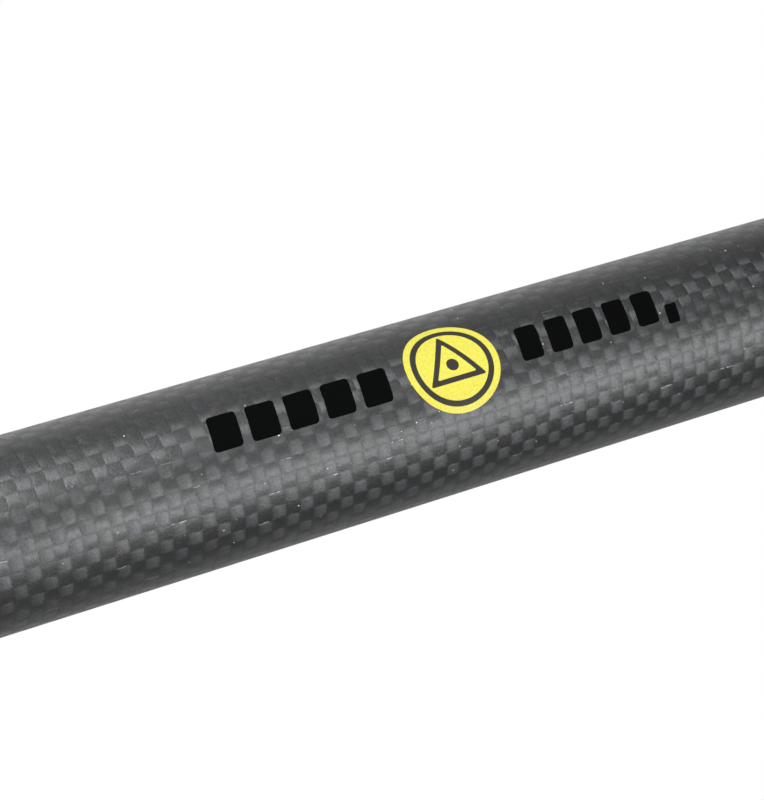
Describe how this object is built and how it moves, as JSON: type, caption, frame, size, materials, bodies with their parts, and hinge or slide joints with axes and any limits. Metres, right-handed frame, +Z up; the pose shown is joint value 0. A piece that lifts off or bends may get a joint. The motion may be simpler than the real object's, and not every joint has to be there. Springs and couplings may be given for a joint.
{
  "type": "prism pole",
  "caption": "Telescoping carbon fibre prism pole with a steel point, foam grip, circular level, cam clamp and a threaded stud for a survey prism.",
  "frame": {"origin": "tip of the steel point, on the survey mark", "axes": "+Z up the pole's axis towards the prism stud; -Y is the printed side with the level's vial and the clamp lever; +X is the side of the clamp's ears and bolt"},
  "size_m": [0.0578, 0.095, 1.264],
  "materials": {
    "carbon": "satin clear coat over plain-weave carbon fibre",
    "hard_steel": "turned and hardened",
    "stainless": "bright stainless",
    "black_anodised": "satin black anodised",
    "foam": "matt closed-cell foam",
    "rubber": "matt",
    "yellow": "moulded, satin",
    "lever": "glass-filled nylon, fine spark texture",
    "acetal": "smooth natural acetal",
    "brass": "plain brass",
    "vial_back": "white-green print disc",
    "spirit": "clear green-yellow spirit",
    "lens": "clear acrylic",
    "bezel": "satin black"
  },
  "bodies": {
    "lower_section": {"steel_point": "hard_steel", "point_seal": "rubber", "foot_shoe": "black_anodised", "shoe_rivets": "stainless", "outer_tube": "carbon", "bottom_bumper": "rubber", "grip_foam": "foam", "grip_ring_lower": "yellow", "grip_ring_upper": "yellow", "stop_sleeve": "acetal", "lock_collar": "black_anodised", "collar_set_screws": "stainless", "lock_liner": "acetal", "dust_wiper": "rubber", "lock_bolt": "stainless", "cam_pad": "brass", "nut_washer": "brass"},
    "lock_lever": {"lock_lever": "lever", "lever_pin": "stainless"},
    "tension_nut": {"tension_nut": "black_anodised"},
    "guide": {"guide_ring": "acetal"},
    "inner_section": {"end_plug": "black_anodised", "guide_washer": "stainless", "guide_screw": "stainless", "inner_tube": "carbon", "pole_head": "black_anodised", "head_rivets": "stainless", "head_stud": "stainless"},
    "level_carrier": {"level_liner": "acetal"},
    "level": {"level_bracket": "black_anodised", "level_clamp_nut": "stainless", "vial_cushion": "rubber", "vial_housing": "black_anodised", "vial_backing": "vial_back", "vial_fluid": "spirit", "vial_lens": "lens", "vial_bezel": "bezel"},
    "level_thumb_screw": {"level_thumb_screw": "black_anodised"},
    "vial_screw_1": {"vial_screw_1": "stainless"},
    "vial_screw_2": {"vial_screw_2": "stainless"},
    "vial_screw_3": {"vial_screw_3": "stainless"}
  },
  "joints": [
    {"name": "lever_hinge", "type": "hinge", "parent": "lower_section", "child": "lock_lever", "pos_m": [0.026, -0.017, 1.112], "axis": [0, 0, 1], "range_deg": [0, 140]},
    {"name": "tension_nut_turn", "type": "hinge", "parent": "lower_section", "child": "tension_nut", "pos_m": [0.026, 0.015, 1.112], "axis": [0, 1, 0], "continuous": true},
    {"name": "inner_slide", "type": "slide", "parent": "lower_section", "child": "guide", "axis": [0, 0, 1], "range_m": [0, 0.75]},
    {"name": "inner_swivel", "type": "hinge", "parent": "guide", "child": "inner_section", "pos_m": [0, 0, 0.158], "axis": [0, 0, 1], "continuous": true},
    {"name": "level_slide", "type": "slide", "parent": "lower_section", "child": "level_carrier", "axis": [0, 0, 1], "range_m": [-0.04, 0.09]},
    {"name": "level_swivel", "type": "hinge", "parent": "level_carrier", "child": "level", "pos_m": [0, 0, 0.96], "axis": [0, 0, 1], "continuous": true},
    {"name": "thumb_screw_turn", "type": "hinge", "parent": "level", "child": "level_thumb_screw", "pos_m": [0, 0.029, 0.96], "axis": [1, 0, 0], "continuous": true},
    {"name": "vial_screw_1_turn", "type": "hinge", "parent": "level", "child": "vial_screw_1", "pos_m": [0, -0.0272, 0.96], "axis": [0, 0, 1], "range_deg": [-180, 180]},
    {"name": "vial_screw_2_turn", "type": "hinge", "parent": "level", "child": "vial_screw_2", "pos_m": [-0.01195, -0.0479, 0.96], "axis": [0, 0, 1], "range_deg": [-180, 180]},
    {"name": "vial_screw_3_turn", "type": "hinge", "parent": "level", "child": "vial_screw_3", "pos_m": [0.01195, -0.0479, 0.96], "axis": [0, 0, 1], "range_deg": [-180, 180]}
  ]
}
